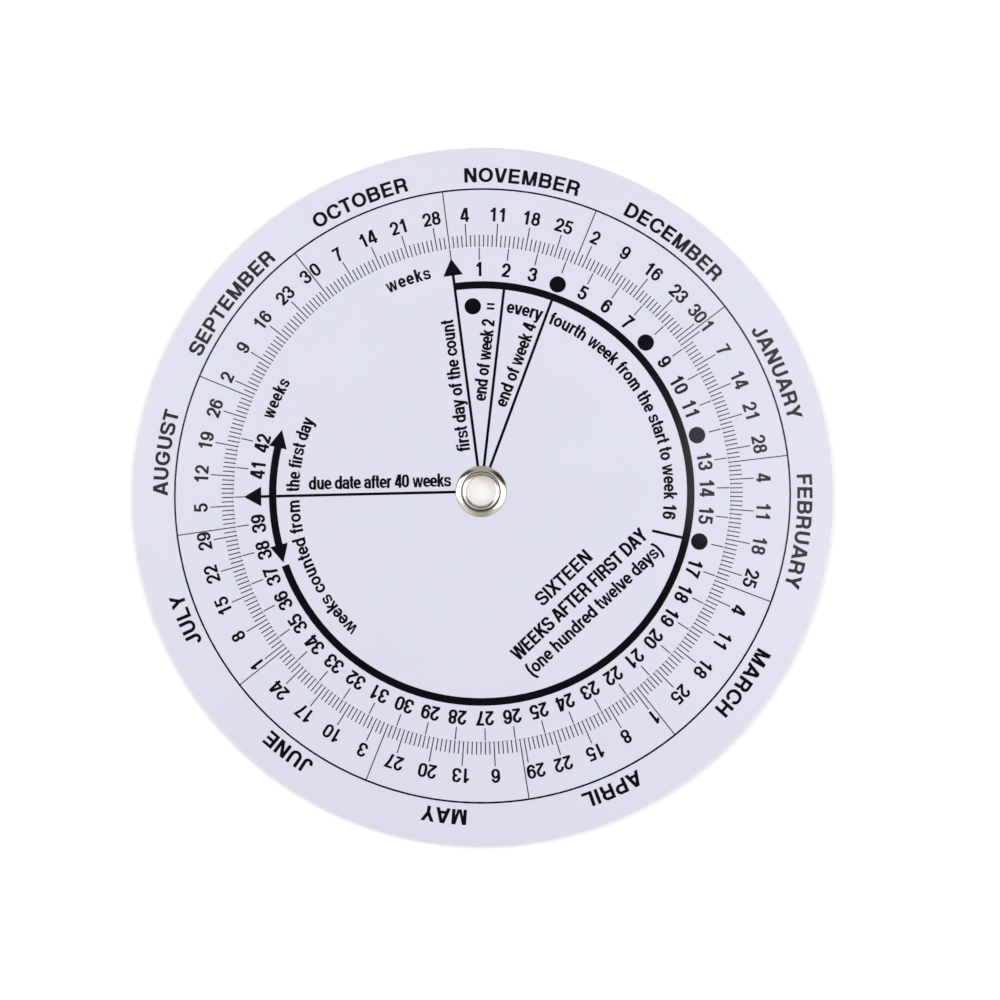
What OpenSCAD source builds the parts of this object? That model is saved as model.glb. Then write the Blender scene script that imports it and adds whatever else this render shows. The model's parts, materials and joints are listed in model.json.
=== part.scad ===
// Due date calculator wheel: a week disc turns over a larger date disc on a hollow eyelet.
// Lengths are in millimetres. +Z leaves the printed faces, and +Y runs to the start pointer.
// The origin is on the eyelet's axis, level with the flange that the wheel rests on.

/* [Discs] */
// Diameter of the date disc, which lies behind
date_disc_d = 127; // [118:1:160]
// Thickness of the date disc
date_disc_t = 0.5; // [0.3:0.05:1.5]
// Diameter of the week disc, which lies in front
week_disc_d = 89.8; // [80:0.2:100]
// Thickness of the week disc
week_disc_t = 0.4; // [0.3:0.05:1.5]
// Bevel that punching leaves along the edges of both discs
punched_edge = 0.1; // [0.02:0.01:0.12]

/* [Eyelet] */
// Diameter of the open bore
bore_d = 5.1; // [4:0.1:6]
// Thickness of the eyelet's metal
eyelet_wall = 0.3; // [0.2:0.02:0.36]
// Reach of the back flange outwards from the bore
flange_reach = 1.9; // [1.6:0.05:3]
// Height of the back flange
flange_h = 0.6; // [0.45:0.05:0.75]
// Diameter of the front edge, which is rolled over the washer
curl_d = 0.92; // [0.76:0.04:1.2]

/* [Washer] */
// Width of the washer from its hole to its rim
washer_w = 1.7; // [1.2:0.05:2.5]
// Thickness of the washer's metal
washer_wall = 0.3; // [0.2:0.02:0.36]
// Rise of the washer's arch
washer_rise = 0.45; // [0.36:0.03:0.57]

/* [Clearances] */
// Running clearance round the eyelet's barrel
barrel_clearance = 0.08; // [0.02:0.01:0.1]
// Clearance over a printed face, below what turns on it
print_clearance = 0.03; // [0.02:0.01:0.1]
// Clearance between the back flange and the date disc
flange_clearance = 0.03; // [0.02:0.01:0.1]
// Clearance between the rolled edge and the washer
curl_clearance = 0.02; // [0.01:0.01:0.05]

/* [Calendar] */
// Day of the year under the start pointer
set_day = 304; // [1:1:365]
// Week of the due pointer
due_week = 40; // [36:1:42]
// Weeks on the scale after the due pointer
weeks_past_due = 2; // [2:1:5]
// Weeks between dots
dot_step = 4; // [3:1:6]
// Number of dots on the scale
dot_count = 4; // [2:1:6]
// Weeks between the lines that start at the eyelet
sector_step = 2; // [1.5:0.25:4]
// Number of sectors next to the start pointer
sector_count = 2; // [1:1:3]

/* [Date print] */
// Thickness of the ink
ink_t = 0.02; // [0.01:0.005:0.04]
// Width of the ticks and of the lines between months
hairline_w = 0.18; // [0.08:0.02:0.3]
// Length of a day's tick
day_tick = 2.3; // [1.5:0.1:3.5]
// Length of a numbered day's tick
numbered_tick = 4.4; // [3:0.1:6]
// Length of each tick that the week disc covers
covered_tick = 0.5; // [0.2:0.1:4]
// Width of the band between the week disc and the ring line, which takes the numbers
number_band = 11; // [9:0.05:13]
// Width of the ring line under the months
ring_line_w = 0.32; // [0.16:0.02:0.6]

/* [Week print] */
// Bare margin inside the week disc's bevel
rim_margin = 0.06; // [0.02:0.02:0.4]
// Length of a week's tick
week_tick = 2.4; // [1.5:0.1:3.5]
// Gap between a week's tick and its dot
tick_gap = 0.68; // [0.3:0.02:1.5]
// Diameter of a dot
dot_d = 3; // [2:0.05:3.8]
// Gap between the dots and the term band
band_gap = 0.32; // [0.2:0.02:1.5]
// Width of the term band
band_w = 1.36; // [0.6:0.02:2]
// Width of the lines between the eyelet and the band
sector_line_w = 0.49; // [0.2:0.01:0.6]
// Length of the short line at the last dot
call_line = 5.5; // [3:0.1:9]
// Gap between the start line and the key dot
key_line_gap = 1.08; // [0.5:0.02:1.6]
// Gap between the term band and the key dot
key_band_gap = 1.86; // [0.5:0.02:6]
// Length of the line between the band and a pointer's head
pointer_stem = 1.4; // [0.5:0.02:2]
// Width of a pointer's head
pointer_w = 3.6; // [2.5:0.02:4.5]
// Length of a pointer's head
pointer_len = 3.15; // [2:0.05:4]
// Weeks from the due pointer to the head at each end of the due window
window_half = 1.98; // [1:0.02:3]
// Width of the due window's heads
window_head_w = 3.3; // [2:0.1:4]
// Length of the due window's heads
window_head_len = 3.25; // [2:0.05:5]
// Gap between the due window and the end of the term band
window_gap = 0.55; // [0.3:0.05:5]

/* [Hidden] */
$fn = 128;

pvc_colour = "#E3E3EF";
ink_colour = "#181823";
nickel_colour = "#CFC9BC";

// The calendar: months end on a line, every seventh day has a number, and so has the first day
month_days = [31, 28, 31, 30, 31, 30, 31, 31, 30, 31, 30, 31];
days_in_year = 365;
days_in_week = 7;
day_angle = 360 / days_in_year;
week_angle = days_in_week * day_angle;
last_week = due_week + weeks_past_due;

// Radii from the axis outwards
bore_r = bore_d / 2;
barrel_r = bore_r + eyelet_wall;
hole_r = barrel_r + barrel_clearance;
curl_r = curl_d / 2;
curl_centre_r = bore_r + curl_r;
flange_r = bore_r + flange_reach;
week_r = week_disc_d / 2;
ring_r = week_r + number_band;
date_r = date_disc_d / 2;
tick_start_r = week_r - covered_tick;

// The week disc's print, from its rim inwards
print_rim_r = week_r - punched_edge - rim_margin;
week_tick_r = week_r - week_tick;
dot_r = week_tick_r - tick_gap - dot_d / 2;
band_outer_r = dot_r - dot_d / 2 - band_gap;
band_r = band_outer_r - band_w / 2;
band_inner_r = band_outer_r - band_w;
pointer_base_r = band_outer_r + pointer_stem;
key_dot_x = sector_line_w / 2 + key_line_gap + dot_d / 2;
key_dot_y = band_inner_r - key_band_gap - dot_d / 2;

// The term band stops short of the due window's first head
window_lead = window_head_len + window_gap;
band_end_week = due_week - window_half - window_lead / (band_r * week_angle * PI / 180);

// Heights from the flange upwards
date_back = flange_h + flange_clearance;
date_face = date_back + date_disc_t;
week_back = date_face + ink_t + print_clearance;
week_face = week_back + week_disc_t;
washer_foot = week_face + ink_t + print_clearance;

// The washer's arch in section is a circle through both feet and the crown
arch_half_w = washer_w / 2;
arch_r = (arch_half_w * arch_half_w + washer_rise * washer_rise) / (2 * washer_rise);
arch_drop = arch_r - washer_rise;
arch_centre_r = hole_r + arch_half_w;

// The rolled edge lands on the highest stretch of the arch that it covers
landing_r = min(curl_centre_r + curl_r, arch_centre_r);
landing_h = sqrt(arch_r * arch_r - pow(arch_centre_r - landing_r, 2)) - arch_drop;
curl_z = washer_foot + landing_h + curl_clearance;

// Day of the year on which a month ends, counted from month 1
function month_end(month) = month == 0 ? 0 : month_end(month - 1) + month_days[month - 1];
month_ends = [for (month = [1 : len(month_days)]) month_end(month)];

function is_month_end(day) = len(search(day, month_ends)) > 0;
function is_numbered(day) = day == 1 || day % days_in_week == 0;
function tick_length(day) = is_numbered(day) ? numbered_tick : day_tick;

// Turns what lies along +Y clockwise to a day of the year on the date disc
module at_day(day) {
    rotate([0, 0, (set_day - day) * day_angle])
        children();
}

// Turns what lies along +Y clockwise to a week on the week disc
module at_week(week) {
    rotate([0, 0, -week * week_angle])
        children();
}

// A sheet disc with its centre hole, bevelled where the punch cut it
module punched_disc(r, thickness) {
    e = punched_edge;
    t = thickness;
    rotate_extrude()
        polygon([
            [hole_r + e, 0], [r - e, 0], [r, e], [r, t - e],
            [r - e, t], [hole_r + e, t], [hole_r, t - e], [hole_r, e]
        ]);
}

// A straight line of ink along +Y
module ink_ray(from_r, to_r, w) {
    translate([-w / 2, from_r, 0])
        cube([w, to_r - from_r, ink_t]);
}

// A ring line of ink, clockwise between two weeks
module ink_arc(inner_r, w, from_week, to_week) {
    at_week(to_week)
        rotate([0, 0, 90])
            rotate_extrude(angle = (to_week - from_week) * week_angle)
                translate([inner_r, 0])
                    square([w, ink_t]);
}

// A pointer's head, with the hairline from its tip to the rim
module ink_pointer() {
    tip_r = pointer_base_r + pointer_len;
    half_w = pointer_w / 2;
    linear_extrude(ink_t)
        polygon([[-half_w, pointer_base_r], [half_w, pointer_base_r], [0, tip_r]]);
    ink_ray(tip_r - hairline_w, print_rim_r, hairline_w);
}

// One head of the due window, lapped on the arc: it points clockwise or, with side -1, the other way
module ink_window_head(side) {
    half_w = window_head_w / 2;
    base = -side * hairline_w / 2;
    linear_extrude(ink_t)
        polygon([[base, band_r - half_w], [base, band_r + half_w], [side * window_head_len, band_r]]);
}

// One bend of sheet metal in section: the stretch of a ring that lies in a box
module bend(centre, outer_r, wall, corner, box) {
    translate(centre)
        intersection() {
            difference() {
                circle(r = outer_r);
                circle(r = outer_r - wall);
            }
            translate(corner)
                square(box);
        }
}

// Date disc: white sheet plastic, punched round
module date_disc() {
    color(pvc_colour)
        translate([0, 0, date_back])
            punched_disc(date_r, date_disc_t);
}

// Ring line under the months, with a line at the end of each month
module month_ring_print() {
    color(ink_colour)
        translate([0, 0, date_face]) {
            rotate_extrude()
                translate([ring_r - ring_line_w, 0])
                    square([ring_line_w, ink_t]);
            for (day = month_ends)
                at_day(day)
                    ink_ray(tick_start_r, ring_r - ring_line_w / 2, hairline_w);
        }
}

// Tick for every day that doesn't end a month
module day_tick_print() {
    color(ink_colour)
        translate([0, 0, date_face])
            for (day = [1 : days_in_year])
                if (!is_month_end(day))
                    at_day(day)
                        ink_ray(tick_start_r, week_r + tick_length(day), hairline_w);
}

// Week disc: white sheet plastic, punched round
module week_disc() {
    color(pvc_colour)
        translate([0, 0, week_back])
            punched_disc(week_r, week_disc_t);
}

// Tick for every week, apart from the two that the pointers mark
module week_tick_print() {
    color(ink_colour)
        translate([0, 0, week_face])
            for (week = [1 : last_week])
                if (week != due_week)
                    at_week(week)
                        ink_ray(week_tick_r, print_rim_r, hairline_w);
}

// Start pointer with the band that runs from it, and the lines that start under the washer's crown
module term_band_print() {
    color(ink_colour)
        translate([0, 0, week_face]) {
            ink_pointer();
            ink_ray(arch_centre_r, pointer_base_r + hairline_w, sector_line_w);
            ink_arc(band_inner_r, band_w, 0, band_end_week);
            for (sector = [1 : sector_count])
                at_week(sector * sector_step)
                    ink_ray(arch_centre_r, band_r, sector_line_w);
            at_week(dot_step * dot_count)
                ink_ray(band_inner_r - call_line, band_r, sector_line_w);
        }
}

// Due pointer with its line, and the window of weeks on both sides of it
module due_window_print() {
    color(ink_colour)
        translate([0, 0, week_face]) {
            at_week(due_week) {
                ink_pointer();
                ink_ray(arch_centre_r, pointer_base_r + hairline_w, sector_line_w);
            }
            ink_arc(band_inner_r, band_w, due_week - window_half, due_week + window_half);
            for (side = [-1, 1])
                at_week(due_week + side * window_half)
                    ink_window_head(side);
        }
}

// Dots on the week scale, and the key dot beside the start line
module marker_dot_print() {
    color(ink_colour)
        translate([0, 0, week_face]) {
            for (dot = [1 : dot_count])
                at_week(dot * dot_step)
                    translate([0, dot_r, 0])
                        cylinder(d = dot_d, h = ink_t);
            translate([key_dot_x, key_dot_y, 0])
                cylinder(d = dot_d, h = ink_t);
        }
}

// Eyelet: one drawn piece, with its flange behind and its front edge rolled outwards
module eyelet() {
    flat_w = flange_reach - 2 * flange_h;
    color(nickel_colour)
        rotate_extrude() {
            bend([bore_r + flange_h, flange_h], flange_h, eyelet_wall, [-flange_h, -flange_h], flange_h);
            translate([bore_r + flange_h, 0])
                square([flat_w, eyelet_wall]);
            bend([flange_r - flange_h, flange_h], flange_h, eyelet_wall, [0, -flange_h], flange_h);
            translate([bore_r, flange_h])
                square([eyelet_wall, curl_z - flange_h]);
            bend([curl_centre_r, curl_z], curl_r, eyelet_wall, [-curl_r, 0], [curl_d, curl_r]);
        }
}

// Washer: a ring pressed to an arch, held down by the rolled edge
module eyelet_washer() {
    color(nickel_colour)
        rotate_extrude()
            bend(
                [arch_centre_r, washer_foot - arch_drop],
                arch_r,
                washer_wall,
                [-arch_half_w, arch_drop],
                [washer_w, washer_rise]
            );
}

date_disc();
month_ring_print();
day_tick_print();
week_disc();
week_tick_print();
term_band_print();
due_window_print();
marker_dot_print();
eyelet();
eyelet_washer();
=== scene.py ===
import json
import math

import bmesh
import bpy
from mathutils import Matrix, Vector
from mathutils.geometry import delaunay_2d_cdt


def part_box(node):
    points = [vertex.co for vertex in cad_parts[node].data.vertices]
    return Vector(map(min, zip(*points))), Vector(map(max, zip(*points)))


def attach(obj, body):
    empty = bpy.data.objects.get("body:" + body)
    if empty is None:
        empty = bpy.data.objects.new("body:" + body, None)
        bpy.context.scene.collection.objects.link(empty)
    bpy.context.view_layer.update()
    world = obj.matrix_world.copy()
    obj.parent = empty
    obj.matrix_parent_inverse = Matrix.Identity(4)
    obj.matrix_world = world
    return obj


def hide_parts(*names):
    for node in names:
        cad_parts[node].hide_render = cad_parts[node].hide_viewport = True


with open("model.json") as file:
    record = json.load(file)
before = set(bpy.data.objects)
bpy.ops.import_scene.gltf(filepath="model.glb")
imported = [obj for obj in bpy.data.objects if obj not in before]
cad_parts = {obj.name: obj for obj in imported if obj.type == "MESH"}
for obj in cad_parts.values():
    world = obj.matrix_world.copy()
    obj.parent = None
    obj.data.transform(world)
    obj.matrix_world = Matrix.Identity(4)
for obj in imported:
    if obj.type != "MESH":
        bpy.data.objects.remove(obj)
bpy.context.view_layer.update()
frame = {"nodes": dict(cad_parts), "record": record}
MM = 0.001


# Date disc: the larger disc, which lies behind and carries the calendar. It is punched out of rigid
# white PVC sheet with a faint lavender tint, and has one hole in the middle for the eyelet.

def linear(hex_colour):
    """An sRGB hex colour as the linear RGBA that sockets take."""
    channels = [int(hex_colour[i : i + 2], 16) / 255 for i in (1, 3, 5)]
    return [c / 12.92 if c <= 0.04045 else ((c + 0.055) / 1.055) ** 2.4 for c in channels] + [1]


def add_node(tree, kind, settings=None, **inputs):
    """Adds a node with its settings. An input is a value, or an output socket to link."""
    node = tree.nodes.new(kind)
    for name, value in (settings or {}).items():
        setattr(node, name, value)
    for name, value in inputs.items():
        socket = node.inputs[int(name[1:]) if name[1:].isdigit() else name.replace("_", " ")]
        if isinstance(value, bpy.types.NodeSocket):
            tree.links.new(value, socket)
        else:
            socket.default_value = value
    return node


def new_material(name):
    """An empty node material, its node tree, and Object coordinates to draw patterns on."""
    material = bpy.data.materials.new(name)
    material.use_nodes = True
    tree = material.node_tree
    tree.nodes.clear()
    return material, tree, add_node(tree, "ShaderNodeTexCoord").outputs["Object"]


def per_mm(size_mm):
    """Scale of a noise whose features are about this many millimetres wide."""
    return 1 / (size_mm * MM)


def calendered_pvc(name, hex_light, hex_dark, roughness):
    """Rigid PVC sheet from polished rollers: a satin skin with a very fine grain and a faint cloudiness.
    The real grain is near 0.1 mm. It is drawn at 0.3 mm, as coarse as it needs to be to show."""
    material, tree, place = new_material(name)
    cloud = add_node(tree, "ShaderNodeTexNoise", Vector=place, Scale=per_mm(18), Detail=3.0)
    grain = add_node(tree, "ShaderNodeTexNoise", Vector=place, Scale=per_mm(0.3), Detail=2.0)
    tint = add_node(
        tree, "ShaderNodeMix", {"data_type": "RGBA"},
        _0=cloud.outputs["Fac"], _6=linear(hex_light), _7=linear(hex_dark),
    )
    satin = add_node(
        tree, "ShaderNodeMapRange",
        Value=grain.outputs["Fac"], To_Min=roughness - 0.05, To_Max=roughness + 0.05,
    )
    bump = add_node(
        tree, "ShaderNodeBump", Strength=0.25, Distance=0.004 * MM, Height=grain.outputs["Fac"],
    )
    shader = add_node(
        tree, "ShaderNodeBsdfPrincipled",
        Base_Color=tint.outputs[2], Roughness=satin.outputs["Result"], IOR=1.53,
        Normal=bump.outputs["Normal"],
    )
    add_node(tree, "ShaderNodeOutputMaterial", Surface=shader.outputs["BSDF"])
    return material


def lathe(profile, steps):
    """Spins a closed profile of (radius, height) points in millimetres about the eyelet's axis."""
    bm = bmesh.new()
    ring = [bm.verts.new((r * MM, 0, z * MM)) for r, z in profile]
    sides = [bm.edges.new((ring[i - 1], ring[i])) for i in range(len(ring))]
    bmesh.ops.spin(
        bm, geom=ring + sides, cent=(0, 0, 0), axis=(0, 0, 1),
        angle=math.tau, steps=steps, use_merge=True,
    )
    bmesh.ops.remove_doubles(bm, verts=bm.verts, dist=1e-7)
    bmesh.ops.recalc_face_normals(bm, faces=bm.faces)
    return bm


def to_object(bm, name, *materials):
    """Turns a bmesh into an object of the scene."""
    mesh = bpy.data.meshes.new(name)
    bm.to_mesh(mesh)
    bm.free()
    for material in materials:
        mesh.materials.append(material)
    made = bpy.data.objects.new(name, mesh)
    bpy.context.scene.collection.objects.link(made)
    return made


def finished(bm, name, body, slot, *materials):
    """Turns a bmesh into a piece of the wheel that rides on a body."""
    piece = to_object(bm, name, *materials)
    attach(piece, body)
    return piece


def punched_disc(node, body, hole_r, edge):
    """A sheet disc in a node's place. The faces keep the sheet's skin, and between them lies the cut
    edge, which the punch has rounded over. The cut edge is coloured whiter than the sheet, a painted
    highlight for the light that it catches."""
    low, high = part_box(node)
    disc_r, back, face = high.x / MM, low.z / MM, high.z / MM
    bm = lathe([(hole_r, back), (disc_r, back), (disc_r, face), (hole_r, face)], steps=360)
    near = 1e-7
    rings = [
        e for e in bm.edges
        if abs(e.verts[0].co.z - e.verts[1].co.z) < near
        and abs(e.verts[0].co.xy.length - e.verts[1].co.xy.length) < near
    ]
    bmesh.ops.bevel(
        bm, geom=rings, offset=edge * MM, segments=3, profile=0.5, affect="EDGES", material=-1
    )
    for f in bm.faces:
        is_cut = abs(f.normal.z) < 0.999
        f.smooth = is_cut
        f.material_index = int(is_cut)
    piece = finished(bm, node + "_sheet", body, "white_pvc", pvc_sheet, pvc_cut_edge_highlight)
    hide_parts(node)


pvc_sheet = calendered_pvc("rigid_pvc_sheet_satin", "#DCDDEE", "#D9DAEC", 0.42)
# The cut edge's colour is whiter than the sheet's: a painted highlight for the light along the discs'
# rims.
pvc_cut_edge_highlight = calendered_pvc("rigid_pvc_cut_edge", "#F6F6FA", "#F0F0F6", 0.55)
hole_r = 2.93
punch_edge = 0.1
punched_disc("date_disc", "date_disc", hole_r, punch_edge)


# Lines of the date scale: a ring line under the months, a line between months and a tick for every
# day. They are screen printed in a black ink with a touch of navy, as thin as a hair.

def screen_ink(name, hex_thick, hex_thin):
    """Screen ink on PVC: near black with a touch of navy, and glossier than the sheet, so that it turns
    to charcoal where it mirrors a lamp. The film is a little mottled."""
    material, tree, place = new_material(name)
    mottle = add_node(tree, "ShaderNodeTexNoise", Vector=place, Scale=per_mm(0.5), Detail=3.0)
    tint = add_node(
        tree, "ShaderNodeMix", {"data_type": "RGBA"},
        _0=mottle.outputs["Fac"], _6=linear(hex_thick), _7=linear(hex_thin),
    )
    gloss = add_node(
        tree, "ShaderNodeMapRange", Value=mottle.outputs["Fac"], To_Min=0.07, To_Max=0.11
    )
    shader = add_node(
        tree, "ShaderNodeBsdfPrincipled",
        Base_Color=tint.outputs[2], Roughness=gloss.outputs["Result"], Specular_IOR_Level=0.4,
    )
    add_node(tree, "ShaderNodeOutputMaterial", Surface=shader.outputs["BSDF"])
    return material


black_ink = screen_ink("screen_ink_black", "#07070F", "#0B0B15")
for node in ("month_ring_print", "day_tick_print"):
    frame["nodes"][node].material_slots[0].material = black_ink


# Month names: bold capitals outside the ring line, one in the middle of each month, all with their
# tops outwards. Every letter is a few strokes of one flat pen, merged and raised by the ink's thickness.
# At rest the week disc's start pointer stands on set_day, counted from the start of the year.

ink_t = 0.02
month_cap = 2.71
month_pen = 22.4
month_condense = 0.96
month_spacing = 0.05
month_baseline = 57.02
month_days = [31, 28, 31, 30, 31, 30, 31, 31, 30, 31, 30, 31]
month_names = [
    "JANUARY", "FEBRUARY", "MARCH", "APRIL", "MAY", "JUNE",
    "JULY", "AUGUST", "SEPTEMBER", "OCTOBER", "NOVEMBER", "DECEMBER",
]
days_in_year = sum(month_days)
day_angle = math.tau / days_in_year
set_day = 304
date_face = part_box("date_disc")[1].z

# A letter has its advance and its strokes, in hundredths of the capitals' height, as the pens are. A
# stroke is a row of points x,y where a third number is the radius that rounds the corner. A number
# before the points is the share of the pen's width that a slimmer stroke has, and a level stroke has
# level_share of it. A bend that starts within bends_meet of the last one runs straight on from it.
level_share = 0.83
bends_meet = 2
bend_step = math.radians(15)
letters = {
    " ": (39, []),
    "A": (101, ["13,0 47.5,100", "88,0 53.5,100", "24,29 77,29"]),
    "B": (101, ["19,0 19,100", "19,91 81,91,19 81,52,19 19,52", "19,52 84,52,21 84,9,21 19,9"]),
    "C": (101, ["86,64 86,91,26 15,91,36 15,9,36 86,9,26 86,36"]),
    "D": (101, ["19,0 19,100", "19,91 86,91,37 86,9,37 19,9"]),
    "E": (93, ["85,91 19,91 19,9 86,9", "19,51 81,51"]),
    "F": (85, ["82,91 19,91 19,0", "19,48 74,48"]),
    "G": (108, ["88,66 88,91,25 15,91,37 15,9,37 88,9,30 88,53", "56,44 90,44"]),
    "H": (101, ["19,0 19,100", "82,0 82,100", "19,52 82,52"]),
    "I": (39, ["19.5,0 19.5,100"]),
    "J": (77, ["58,100 58,9,23 12,9,20 12,34"]),
    "L": (85, ["19,100 19,9 81,9"]),
    "M": (116, ["19,0 19,100", "97,0 97,100", "0.82 25,100 54,0", "0.82 91,100 62,0"]),
    "N": (101, ["19,0 19,100", "82,0 82,100", "22,100 79,0"]),
    "O": (108, ["54,91 15,91,38 15,9,38 54,9", "54,9 93,9,38 93,91,38 54,91"]),
    "P": (93, ["19,0 19,100", "19,91 79,91,23 79,43,23 19,43"]),
    "R": (101, ["19,0 19,100", "19,91 81,91,22 81,46,22 19,46", "50,46 78,46,16 82,0"]),
    "S": (93, ["79,70 79,91,20 15,91,17 15,58,15 79,43,15 79,9,17 14,9,20 14,31"]),
    "T": (85, ["2,91 83,91", "42.5,0 42.5,95"]),
    "U": (101, ["19,100 19,9,30 82,9,30 82,100"]),
    "V": (93, ["13,100 42,0", "80,100 51,0"]),
    "Y": (93, ["13,100 46.5,42", "80,100 46.5,42", "46.5,0 46.5,46"]),
}
letter_meshes = {}


def pen_path(places):
    """The middle line of a stroke, with its rounded corners as arcs."""
    points = [[float(n) for n in p.split(",")] for p in places]
    path = []
    for i, point in enumerate(points):
        corner = Vector(point[:2])
        if len(point) == 2:
            path.append(corner)
            continue
        back = (Vector(points[i - 1][:2]) - corner).normalized()
        ahead = (Vector(points[i + 1][:2]) - corner).normalized()
        half = back.angle(ahead) / 2
        centre = corner + (back + ahead).normalized() * point[2] / math.sin(half)
        reach = point[2] / math.tan(half)
        start = corner + back * reach - centre
        sweep = -start.angle_signed(corner + ahead * reach - centre)
        steps = max(2, round(abs(sweep) / bend_step))
        bend = [centre + Matrix.Rotation(sweep * k / steps, 2) @ start for k in range(steps + 1)]
        if len(path) > 1 and (bend[0] - path[-1]).length < bends_meet:
            bend.pop(0)
        path += bend
    return path


def pen_outline(stroke, pen, condense):
    """The outline that the pen leaves along a stroke. A slanting end is cut level."""
    places = stroke.split()
    if "," not in places[0]:
        pen *= float(places.pop(0))
    path = [Vector((p.x * condense, p.y)) for p in pen_path(places)]
    runs = [(b - a).normalized() for a, b in zip(path, path[1:])]
    left, right = [], []
    for i, point in enumerate(path):
        before, after = runs[max(i - 1, 0)], runs[min(i, len(runs) - 1)]
        normals = [Vector((-run.y, run.x)) for run in (before, after)]
        side = (normals[0] + normals[1]) / (1 + normals[0].dot(normals[1]))
        slanting = 0.4 < abs(before.y) < 0.999
        if slanting and i in (0, len(path) - 1):
            side = Vector((-1 / before.y, 0))
        reach = Vector((side.x, side.y * level_share)) * pen / 2
        left.append(point + reach)
        right.append(point - reach)
    return right + left[::-1]


def letter_mesh(letter, pen, condense):
    """One letter as a flat solid, a capital high and a unit thick. Condensing keeps the pen's width."""
    key = letter, pen, round(condense, 3)
    if key not in letter_meshes:
        outlines = [pen_outline(stroke, pen, condense) for stroke in letters[letter][1]]
        points = [p / 100 for outline in outlines for p in outline]
        starts = [sum(len(o) for o in outlines[:i]) for i in range(len(outlines))]
        rings = [list(range(s, s + len(o))) for s, o in zip(starts, outlines)]
        only_inside, near = 1, 1e-5
        places, _, faces, _, _, sources = delaunay_2d_cdt(points, [], rings, only_inside, near)
        bm = bmesh.new()
        corners = [bm.verts.new((p.x, p.y, 0)) for p in places]
        for face, source in zip(faces, sources):
            if source:
                bm.faces.new([corners[i] for i in face])
        bmesh.ops.delete(bm, geom=[v for v in bm.verts if not v.link_faces], context="VERTS")
        bmesh.ops.remove_doubles(bm, verts=bm.verts, dist=1e-4)
        bmesh.ops.dissolve_limit(bm, angle_limit=math.radians(1), verts=bm.verts, edges=bm.edges)
        raised = bmesh.ops.extrude_face_region(bm, geom=bm.faces[:] + bm.edges[:], use_keep_orig=True)
        bmesh.ops.translate(
            bm, vec=(0, 0, 1), verts=[g for g in raised["geom"] if isinstance(g, bmesh.types.BMVert)]
        )
        bmesh.ops.recalc_face_normals(bm, faces=bm.faces)
        letter_meshes[key] = bpy.data.meshes.new("letter")
        bm.to_mesh(letter_meshes[key])
        bm.free()
    return letter_meshes[key]


def row_width(text, cap, condense, spacing=0):
    """Length of a row of letters in millimetres, from the first one's start to the last one's end."""
    return sum(letters[c][0] for c in text) / 100 * cap * condense + spacing * (len(text) - 1)


def set_row(bm, text, cap, pen, condense, face, placing, spacing=0):
    """Sets a row of letters about its middle. placing turns a place along the row into a matrix."""
    size = Matrix.Diagonal((cap * MM, cap * MM, ink_t * MM, 1))
    along = -row_width(text, cap, condense, spacing) / 2
    for letter in text:
        advance = letters[letter][0] / 100 * cap * condense
        if letters[letter][1]:
            known = len(bm.verts)
            bm.from_mesh(letter_mesh(letter, pen, condense))
            bm.verts.ensure_lookup_table()
            seat = Matrix.Translation((-advance / 2 * MM, 0, face))
            place = placing(along + advance / 2) @ seat @ size
            bmesh.ops.transform(bm, matrix=place, verts=bm.verts[known:])
        along += advance + spacing


def on_arc(angle, baseline_r):
    """Placing for a row round the dial: angle is clockwise from the start pointer, in radians."""
    def placing(along):
        turn = Matrix.Rotation(-angle - along / baseline_r, 4, "Z")
        return turn @ Matrix.Translation((0, baseline_r * MM, 0))

    return placing


bm = bmesh.new()
for month, name in enumerate(month_names):
    middle = sum(month_days[:month]) + month_days[month] / 2
    place = on_arc((middle - set_day) * day_angle, month_baseline)
    set_row(bm, name, month_cap, month_pen, month_condense, date_face, place, month_spacing)
finished(bm, "month_names", "date_disc", "black_ink", black_ink)


# Date numerals: the first day of the year and every seventh day carry their day of the month, above a
# longer tick. A number on a line between months has its digits spread, and one beside it is set a
# little aside, so that the line stays clear.

date_cap = 2.575
date_pen = 18.7
date_condense = 0.83
date_baseline = 49.74
line_spread = 0.5
line_clear = math.radians(2.25)
beside_line = 1.5 * day_angle
letters.update({
    "0": (77, ["39,91 13,91,25 13,9,25 39,9", "39,9 64,9,25 64,91,25 39,91"]),
    "1": (77, ["45,0 45,100", "12,74 31,74,13 41,95"]),
    "2": (77, ["13,64 13,91,25 64,91,25 64,55,22 18,14", "4,9 71,9"]),
    "3": (77, ["12,67 12,91,22 62,91,19 62,52,19 33,52", "33,52 65,52,21 65,9,21 11,9,22 11,33"]),
    "4": (77, ["54,0 54,100", "1,24 75,24", "47,100 10,28"]),
    "5": (77, ["67,91 21,91 16,49", "18,58 65,58,24 65,9,24 12,9,22 12,31"]),
    "6": (77, [
        "63,70 63,91,20 13,91,27 13,35", "38,61 13,61,25 13,9,25 38,9", "38,9 64,9,25 64,61,25 38,61",
    ]),
    "7": (77, ["4,91 59,91 38,48,40 27,0"]),
    "8": (77, [
        "39,91 17,91,19 17,52,19 39,52", "39,52 61,52,19 61,91,19 39,91",
        "39,52 13,52,21 13,9,21 39,9", "39,9 64,9,21 64,52,21 39,52",
    ]),
    "9": (77, [
        "14,30 14,9,20 64,9,27 64,65", "39,39 64,39,25 64,91,25 39,91", "39,91 13,91,25 13,39,25 39,39",
    ]),
})
days_in_week = 7
numbered_days = [1] + list(range(days_in_week, days_in_year + 1, days_in_week))
month_ends = [sum(month_days[: month + 1]) for month in range(12)]
bm = bmesh.new()
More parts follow.
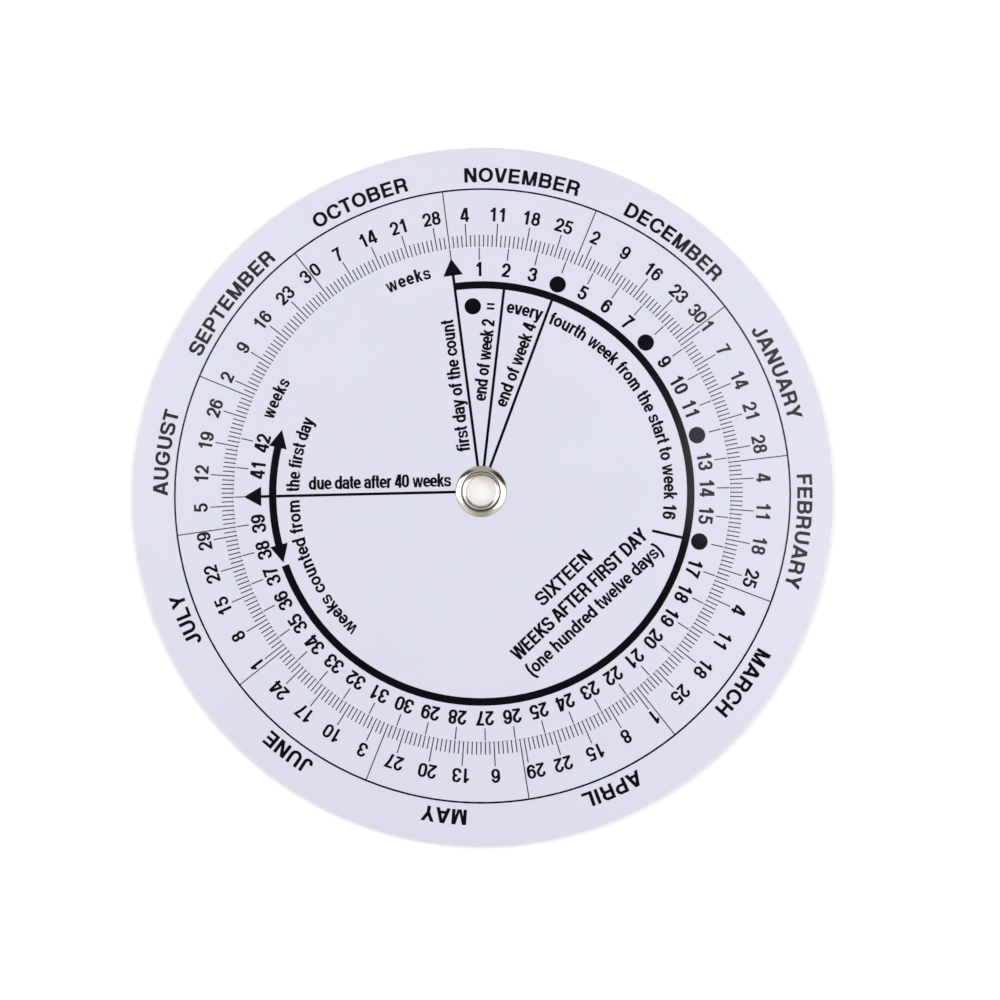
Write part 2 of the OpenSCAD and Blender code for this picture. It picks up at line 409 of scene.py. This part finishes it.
for day in numbered_days:
    month = next(m for m in range(12) if day <= month_ends[m])
    text = str(day - sum(month_days[:month]))
    angle = (day - set_day) * day_angle
    spacing = 0
    for line in [0] + month_ends:
        apart = (day - line) * day_angle
        if day == line:
            spacing = line_spread
        elif abs(apart) < beside_line and len(text) == 2:
            angle += math.copysign(line_clear - day_angle, apart)
    place = on_arc(angle, date_baseline)
    set_row(bm, text, date_cap, date_pen, date_condense, date_face, place, spacing)
finished(bm, "date_numerals", "date_disc", "black_ink", black_ink)


# Week disc: the smaller disc, which lies in front and turns on the eyelet. It is punched out of the
# same sheet as the date disc, and its ticks, band, pointers and dots are printed in the same ink.

punched_disc("week_disc", "week_disc", hole_r, punch_edge)
for node in ("week_tick_print", "term_band_print", "due_window_print", "marker_dot_print"):
    frame["nodes"][node].material_slots[0].material = black_ink


# Week numerals: one under each week's tick, apart from the weeks that have a dot or a pointer. They
# are printed in one pass with the band, in the same ink.

week_cap = 2.63
week_pen = 19.2
week_condense = 0.8
week_baseline = 39.44
week_angle = days_in_week * day_angle
week_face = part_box("week_disc")[1].z
dot_step = 4
last_dot = 16
due_week = 40
last_week = 42
bm = bmesh.new()
for week in range(1, last_week + 1):
    has_dot = week % dot_step == 0 and week <= last_dot
    if has_dot or week == due_week:
        continue
    place = on_arc(week * week_angle, week_baseline)
    set_row(bm, str(week), week_cap, week_pen, week_condense, week_face, place)
finished(bm, "week_numerals", "week_disc", "black_ink", black_ink)


# Words of the week scale: short plain legends beside the lines, along the band and in a block of three
# rows. They are printed in the same bold letters, most of them in lower case.

letters.update({
    "K": (101, ["21,0 21,100", "24,36 86,100", "46,58 88,0"]),
    "W": (132, ["0.88 11,100 33,0", "0.88 61,100 40,0", "0.88 71,100 92,0", "0.88 121,100 99,0"]),
    "X": (93, ["13,0 80,100", "80,0 13,100"]),
    "a": (77, ["13,51 13,65,14 61,65,18 61,0", "61,40 12,40,15 12,9,15 61,9"]),
    "c": (77, ["66,46 66,65,18 13,65,27 13,9,27 66,9,18 66,28"]),
    "d": (85, ["66,0 66,100", "39,65 12,65,27 12,9,27 39,9", "39,9 66,9,27 66,65,27 39,65"]),
    "e": (77, ["13,36 75,36", "66,36 66,65,26 13,65,26 13,9,26 44,9,20 67,16"]),
    "f": (46, ["48,91 23,91,14 23,0", "2,65 45,65"]),
    "h": (85, ["19,0 19,100", "19,40 19,65,24 66,65,22 66,0"]),
    "i": (39, ["19.5,0 19.5,74", "19.5,84 19.5,100"]),
    "k": (77, ["19,0 19,100", "0.88 24,28 62,74", "0.88 37,45 66,0"]),
    "l": (39, ["19.5,0 19.5,100"]),
    "m": (124, ["19,0 19,74", "19,40 19,65,22 62,65,20 62,0", "62,40 62,65,22 105,65,20 105,0"]),
    "n": (85, ["19,0 19,74", "19,40 19,65,24 66,65,22 66,0"]),
    "o": (85, ["42.5,65 14,65,28 14,9,28 42.5,9", "42.5,9 71,9,28 71,65,28 42.5,65"]),
    "r": (54, ["19,0 19,74", "19,38 19,65,22 53,65"]),
    "s": (77, ["0.9 63,49 63,65,15 14,65,13.5 14,42,11 64,33,11 64,9,13.5 12,9,15 12,25"]),
    "t": (46, ["22,96 22,9,15 44,9", "2,65 44,65"]),
    "u": (85, ["19,74 19,9,22 66,9,24 66,34", "66,0 66,74"]),
    "v": (77, ["11,74 33,0", "66,74 44,0"]),
    "w": (116, ["0.75 10,74 31,0", "0.75 55,74 37,0", "0.75 61,74 79,0", "0.75 106,74 85,0"]),
    "y": (77, ["11,74 36,0", "66,74 35,-20,14 12,-20"]),
    "=": (77, ["6,22 71,22", "6,55 71,55"]),
    "(": (46, ["36,104 16,70,60 16,5,60 36,-29"]),
    ")": (46, ["10,104 30,70,60 30,5,60 10,-29"]),
})
word_cap = 2.44
word_pen = 19.2

# Rows inside the band and units outside it: start and end in degrees clockwise from the start pointer
band_row_r = 32.95
band_rows = [
    ("=", 8.9, 11.7),
    ("every", 15.3, 26.5),
    ("fourth week from the start to week 16", 29, 106),
    ("weeks counted from", 229.3, 275),
    ("the first day", 277.4, 300.6),
]
unit_row_r = 40.05
unit_spacing = 0.2
unit_rows = [
    ("weeks", -17.5, -5.7),
    ("weeks", 296.6, 307.3),
]

# Rows beside a line: its week, and the row's start and end in millimetres from the eyelet's axis
line_gap = 1.0
line_rows = [
    ("first day of the count", 0, 7.6, 31.9),
    ("end of week 2", 2, 16.4, 31.4),
    ("end of week 4", 4, 15.8, 31.9),
    ("due date after 40 weeks", due_week, 31.2, 5.4),
]

# Rows of the block: height of the capitals, pen, baseline and length
block_turn = math.radians(36.2)
block_rows = [
    ("SIXTEEN", 2.57, 19.8, -22.78, 12.7),
    ("WEEKS AFTER FIRST DAY", 2.57, 20.1, -26.86, 32.3),
    ("(one hundred twelve days)", 2.5, 18.4, -30.6, 32.5),
]


def fitting(text, cap, length, spacing=0):
    """How much a row is condensed to fill a length."""
    return (length - spacing * (len(text) - 1)) / row_width(text, cap, 1)


def on_line(turn, middle, baseline):
    """Placing for a straight row that is turned anticlockwise about the eyelet's axis, in radians."""
    def placing(along):
        seat = Matrix.Translation(((middle + along) * MM, baseline * MM, 0))
        return Matrix.Rotation(turn, 4, "Z") @ seat

    return placing


bm = bmesh.new()
for rows, row_r, spacing in ((band_rows, band_row_r, 0), (unit_rows, unit_row_r, unit_spacing)):
    for text, start, end in rows:
        condense = fitting(text, word_cap, math.radians(end - start) * row_r, spacing)
        place = on_arc(math.radians(start + end) / 2, row_r)
        set_row(bm, text, word_cap, word_pen, condense, week_face, place, spacing)
for text, week, start, end in line_rows:
    condense = fitting(text, word_cap, abs(end - start))
    outward = 1 if end > start else -1
    turn = outward * math.pi / 2 - week * week_angle
    place = on_line(turn, (start + end) / 2 * outward, line_gap)
    set_row(bm, text, word_cap, word_pen, condense, week_face, place)
for text, cap, pen, baseline, length in block_rows:
    place = on_line(block_turn, 0, baseline)
    set_row(bm, text, cap, pen, fitting(text, cap, length), week_face, place)
finished(bm, "scale_words", "week_disc", "black_ink", black_ink)


# Eyelet: drawn from one piece of brass and nickel plated. A flange lies behind the discs, the barrel
# goes through both, and its front edge is rolled outwards over the washer.

def nickel_plate(name, creases, front_z):
    """Bright nickel over brass: a warm white metal with polishing marks too fine to see one by one.
    The marks are drawn 0.2 mm wide, which is as coarse as they need to be to show. Painted shade darkens
    the creases of the front, for the shadow in the groove under the rolled edge and at the washer's
    foot: each crease a radius and how far the shade reaches from it, in millimetres."""
    material, tree, place = new_material(name)
    marks = add_node(tree, "ShaderNodeTexNoise", Vector=place, Scale=per_mm(0.2), Detail=4.0)
    haze = add_node(tree, "ShaderNodeTexNoise", Vector=place, Scale=per_mm(1.5), Detail=2.0)
    tint = add_node(
        tree, "ShaderNodeMix", {"data_type": "RGBA"},
        _0=haze.outputs["Fac"], _6=linear("#F4EFE8"), _7=linear("#EBE5DB"),
    )
    axis = add_node(tree, "ShaderNodeSeparateXYZ", Vector=place)
    level = add_node(tree, "ShaderNodeVectorMath", {"operation": "MULTIPLY"}, _0=place, _1=(1, 1, 0))
    radius = add_node(tree, "ShaderNodeVectorMath", {"operation": "LENGTH"}, _0=level.outputs["Vector"])
    front = add_node(
        tree, "ShaderNodeMath", {"operation": "GREATER_THAN"},
        _0=axis.outputs["Z"], _1=front_z * MM,
    )
    # Painted shade: each crease is darkened towards a dark brown, for the shadow in the groove under the
    # rolled edge and at the washer's foot.
    for crease_r, reach in creases:
        apart = add_node(
            tree, "ShaderNodeMath", {"operation": "SUBTRACT"},
            _0=radius.outputs["Value"], _1=crease_r * MM,
        )
        away = add_node(tree, "ShaderNodeMath", {"operation": "ABSOLUTE"}, _0=apart.outputs["Value"])
        depth = add_node(
            tree, "ShaderNodeMapRange", {"interpolation_type": "SMOOTHSTEP"},
            Value=away.outputs["Value"], From_Max=reach * MM, To_Min=1.0, To_Max=0.0,
        )
        painted_shade = add_node(
            tree, "ShaderNodeMath", {"operation": "MULTIPLY"},
            _0=depth.outputs["Result"], _1=front.outputs["Value"],
        )
        tint = add_node(
            tree, "ShaderNodeMix", {"data_type": "RGBA"},
            _0=painted_shade.outputs["Value"], _6=tint.outputs[2], _7=linear("#443C2E"),
        )
    polish = add_node(
        tree, "ShaderNodeMapRange", Value=marks.outputs["Fac"], To_Min=0.10, To_Max=0.24
    )
    bump = add_node(
        tree, "ShaderNodeBump", Strength=0.15, Distance=0.003 * MM, Height=marks.outputs["Fac"]
    )
    shader = add_node(
        tree, "ShaderNodeBsdfPrincipled",
        Base_Color=tint.outputs[2], Metallic=1.0, Roughness=polish.outputs["Result"],
        Normal=bump.outputs["Normal"],
    )
    add_node(tree, "ShaderNodeOutputMaterial", Surface=shader.outputs["BSDF"])
    return material


def arc(centre, radius, start, end, steps):
    """Points of a section along an arc, from one angle to another in degrees."""
    angles = [math.radians(start + (end - start) * k / steps) for k in range(steps + 1)]
    return [(centre[0] + radius * math.cos(a), centre[1] + radius * math.sin(a)) for a in angles]


def formed_metal(profile, name, node):
    """A ring of plated metal in a node's place, spun from its section. Its cut edges stay sharp."""
    bm = lathe(profile, steps=128)
    for f in bm.faces:
        f.smooth = True
    piece = finished(bm, name, "eyelet", "nickel_plate", nickel)
    piece.data.set_sharp_from_angle(angle=math.radians(40))
    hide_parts(node)


bore_r = frame["record"]["mounts"][0]["dims"]["r_mm"]
eyelet_wall = 0.3
flange_h = 0.6
curl_r = 0.46
# Painted shade lies in the groove under the rolled edge and around the washer's foot: where it lies and
# how far it reaches, in millimetres.
groove_inset = 0.02
groove_shade_reach = 0.18
rim_shade_reach = 0.06
eyelet_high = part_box("eyelet")[1]
flange_r = eyelet_high.x / MM
curl_at = (bore_r + curl_r, eyelet_high.z / MM - curl_r)
curl_edge_r = curl_at[0] + curl_r
heel_at = (bore_r + flange_h, flange_h)
rim_at = (flange_r - flange_h, flange_h)
bend_inner_r = flange_h - eyelet_wall
washer_low, washer_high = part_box("eyelet_washer")
washer_r = washer_high.x / MM
creases = [(curl_edge_r - groove_inset, groove_shade_reach), (washer_r, rim_shade_reach)]
nickel = nickel_plate("nickel_plated_brass", creases, flange_h)
profile = (
    arc(curl_at, curl_r, 0, 180, 24)
    + arc(heel_at, flange_h, 180, 270, 10)
    + arc(rim_at, flange_h, 270, 360, 10)
    + arc(rim_at, bend_inner_r, 360, 270, 6)
    + arc(heel_at, bend_inner_r, 270, 180, 6)
    + arc(curl_at, curl_r - eyelet_wall, 180, 0, 10)
)
formed_metal(profile, "eyelet_barrel", "eyelet")


# Washer: a brass ring pressed to an arch and plated like the eyelet. Its crest lies under the eyelet's
# rolled edge, which holds it down on the week disc, and a fine groove lies between the two, darkened
# with painted shade.

washer_wall = 0.3
crest_inset = 0.1
curl_clearance = 0.02
foot = washer_low.z / MM
crest_r = curl_edge_r - crest_inset
crest_z = curl_at[1] - curl_clearance
rise = crest_z - foot


def arch(foot_r):
    """Middle and radius of the arc that rises from a foot to the crest and is level there."""
    radius = ((foot_r - crest_r) ** 2 + rise ** 2) / (2 * rise)
    return (crest_r, crest_z - radius), radius


def foot_angle(centre, radius):
    """How far above the level an arc meets the foot's height, in degrees."""
    return math.degrees(math.asin((foot - centre[1]) / radius))


outer_at, outer_r = arch(washer_r)
inner_at, inner_r = arch(hole_r)
profile = (
    arc(outer_at, outer_r, foot_angle(outer_at, outer_r), 90, 18)
    + arc(inner_at, inner_r, 90, 180 - foot_angle(inner_at, inner_r), 8)[1:]
    + arc(inner_at, inner_r - washer_wall, 180 - foot_angle(inner_at, inner_r - washer_wall), 90, 6)
    + arc(outer_at, outer_r - washer_wall, 90, foot_angle(outer_at, outer_r - washer_wall), 12)[1:]
)
formed_metal(profile, "eyelet_washer_ring", "eyelet_washer")


# Floor: a white sheet a hair below the wheel, which keeps its soft shadow. Away from the wheel the floor
# glows to the white of the background.

floor_size = 3.0
floor_drop = 0.02 * MM
shadow_reach = 0.15
white_reach = 0.6
shadow_glow = 0.25
white_glow = 0.7
material, tree, place = new_material("white_floor")
light_path = add_node(tree, "ShaderNodeLightPath")
mirrored = add_node(
    tree, "ShaderNodeMath", {"operation": "MAXIMUM"},
    _0=light_path.outputs["Is Glossy Ray"], _1=light_path.outputs["Is Transmission Ray"],
)
seen = add_node(
    tree, "ShaderNodeMath", {"operation": "MAXIMUM"},
    _0=light_path.outputs["Is Camera Ray"], _1=mirrored.outputs["Value"],
)
apart = add_node(tree, "ShaderNodeVectorMath", {"operation": "LENGTH"}, _0=place)
white = add_node(
    tree, "ShaderNodeMapRange", {"interpolation_type": "SMOOTHSTEP"}, Value=apart.outputs["Value"],
    From_Min=shadow_reach, From_Max=white_reach, To_Min=shadow_glow, To_Max=white_glow,
)
lift = add_node(
    tree, "ShaderNodeMath", {"operation": "MULTIPLY"},
    _0=seen.outputs["Value"], _1=white.outputs["Result"],
)
paint = add_node(tree, "ShaderNodeBsdfDiffuse", Color=linear("#E7E7E7"))
glow = add_node(tree, "ShaderNodeEmission", Color=linear("#FFFFFF"), Strength=lift.outputs["Value"])
both = add_node(tree, "ShaderNodeAddShader", _0=paint.outputs["BSDF"], _1=glow.outputs["Emission"])
add_node(tree, "ShaderNodeOutputMaterial", Surface=both.outputs["Shader"])
bm = bmesh.new()
bmesh.ops.create_grid(
    bm, x_segments=1, y_segments=1, size=floor_size / 2, matrix=Matrix.Translation((0, 0, -floor_drop))
)
to_object(bm, "floor", material)


# Room: pale walls, greyer before and behind the wheel, with two dark corners at the back and a dim patch
# overhead. The metal and the ink mirror it, and the camera sees plain white in its place.

view_turn = math.radians(-7.5)
side_wall = "#DFDEDB"
end_wall = "#ABA7A1"
dark_corner = "#1E1A14"
dim_patch = "#4D4945"
corner_azimuths = (128, 232)
corner_elevation = 41
patch_elevation = 88.5
world = bpy.data.worlds.new("pale_room")
bpy.context.scene.world = world
world.use_nodes = True
tree = world.node_tree
tree.nodes.clear()
direction = add_node(tree, "ShaderNodeTexCoord").outputs["Generated"]


def toward(azimuth, elevation):
    """Direction from the wheel. Azimuth 0 is at the bottom of the picture and 90 at its right."""
    a, e = math.radians(azimuth) + view_turn, math.radians(elevation)
    return Vector((math.sin(a) * math.cos(e), -math.cos(a) * math.cos(e), math.sin(e)))


def looking(heading):
    """How nearly the room is looked at in a direction: 1 in it, 0 square to it and -1 away from it."""
    dot = add_node(tree, "ShaderNodeVectorMath", {"operation": "DOT_PRODUCT"}, _0=direction, _1=heading)
    return dot.outputs["Value"]


aside = add_node(tree, "ShaderNodeMath", {"operation": "ABSOLUTE"}, _0=looking(toward(90, 0)))
sides = add_node(
    tree, "ShaderNodeMapRange", {"interpolation_type": "SMOOTHSTEP"},
    Value=aside.outputs["Value"], From_Min=0.1, From_Max=0.55,
)
room = add_node(
    tree, "ShaderNodeMix", {"data_type": "RGBA"},
    _0=sides.outputs["Result"], _6=linear(end_wall), _7=linear(side_wall),
)
corners = [
    add_node(
        tree, "ShaderNodeMapRange", {"interpolation_type": "SMOOTHSTEP"},
        Value=looking(toward(azimuth, corner_elevation)), From_Min=0.87, From_Max=0.96,
    ).outputs["Result"]
    for azimuth in corner_azimuths
]
dark = add_node(tree, "ShaderNodeMath", {"operation": "MAXIMUM"}, _0=corners[0], _1=corners[1])
room = add_node(
    tree, "ShaderNodeMix", {"data_type": "RGBA"},
    _0=dark.outputs["Value"], _6=room.outputs[2], _7=linear(dark_corner),
)
patch = add_node(
    tree, "ShaderNodeMapRange", {"interpolation_type": "SMOOTHSTEP"},
    Value=looking(toward(0, patch_elevation)), From_Min=0.914, From_Max=0.985,
)
room = add_node(
    tree, "ShaderNodeMix", {"data_type": "RGBA"},
    _0=patch.outputs["Result"], _6=room.outputs[2], _7=linear(dim_patch),
)
light_path = add_node(tree, "ShaderNodeLightPath")
shown = add_node(
    tree, "ShaderNodeMix", {"data_type": "RGBA"},
    _0=light_path.outputs["Is Camera Ray"], _6=room.outputs[2], _7=linear("#FFFFFF"),
)
background = add_node(tree, "ShaderNodeBackground", Color=shown.outputs[2], Strength=1.0)
add_node(tree, "ShaderNodeOutputWorld", Surface=background.outputs["Background"])


# Lamps: three softboxes light the wheel. Two glowing sheets hang level above it, and the ink turns to
# charcoal on the right and on the left, where it mirrors them.

panel_height = 0.6


def softbox(name, azimuth, elevation, distance, size, power):
    """A square softbox that faces the wheel."""
    lamp = bpy.data.lights.new(name, "AREA")
    lamp.shape = "SQUARE"
    lamp.size = size
    lamp.energy = power
    back = toward(azimuth, elevation)
    facing = back.to_track_quat("Z", "Y").to_matrix().to_4x4()
    box = bpy.data.objects.new(name, lamp)
    box.matrix_world = Matrix.Translation(back * distance) @ facing
    bpy.context.scene.collection.objects.link(box)
    return box


def ceiling_panel(name, corners, strength):
    """A glowing sheet, its corners given as metres right of and above the eyelet in the picture."""
    material, tree = new_material(name)[:2]
    glow = add_node(tree, "ShaderNodeEmission", Color=linear("#FFFFFF"), Strength=strength)
    add_node(tree, "ShaderNodeOutputMaterial", Surface=glow.outputs["Emission"])
    bm = bmesh.new()
    bm.faces.new([bm.verts.new((right, up, panel_height)) for right, up in corners])
    bmesh.ops.rotate(bm, verts=bm.verts, cent=(0, 0, 0), matrix=Matrix.Rotation(view_turn, 3, "Z"))
    panel = to_object(bm, name, material)
    panel.visible_camera = False
    panel.visible_shadow = False


softbox("softbox_right", 84, 54, 0.6, 0.4, 1.31)
softbox("softbox_left", 257, 48, 0.6, 0.4, 1.15)
softbox("softbox_top", 180, 44, 0.7, 0.55, 0.78).visible_glossy = False
ceiling_panel("panel_right", [(0.092, 0.033), (0.398, -0.174), (0.398, -0.014), (0.092, 0.193)], 1.68)
ceiling_panel("panel_left", [(-0.178, 0.012), (-0.131, 0.186), (-0.421, 0.264), (-0.468, 0.090)], 1.17)


# Camera: nearly square above the wheel, about 290 mm away, with the wheel rolled a little to the left
# in the picture and its eyelet left of and above the middle.

view_azimuth = math.radians(9.39)
view_elevation = math.radians(85.58)
view_roll = math.radians(-16.84)
view_distance = 290.5 * MM
aim_right, aim_up = 3.38 * MM, -1.44 * MM
focal_px, picture_px = 1598, 1000
back = Vector((
    math.sin(view_azimuth) * math.cos(view_elevation),
    -math.cos(view_azimuth) * math.cos(view_elevation),
    math.sin(view_elevation),
))
level_right = Vector((math.cos(view_azimuth), math.sin(view_azimuth), 0))
level_up = back.cross(level_right)
right = level_right * math.cos(view_roll) + level_up * math.sin(view_roll)
up = back.cross(right)
lens = bpy.data.cameras.new("camera")
lens.lens = lens.sensor_width * focal_px / picture_px
lens.clip_start = 0.01
camera = bpy.data.objects.new("camera", lens)
stand = Matrix.Translation(back * view_distance + right * aim_right + up * aim_up)
camera.matrix_world = stand @ Matrix((right, up, back)).transposed().to_4x4()
bpy.context.scene.collection.objects.link(camera)
bpy.context.scene.camera = camera

bpy.context.scene.view_settings.view_transform = "Standard"
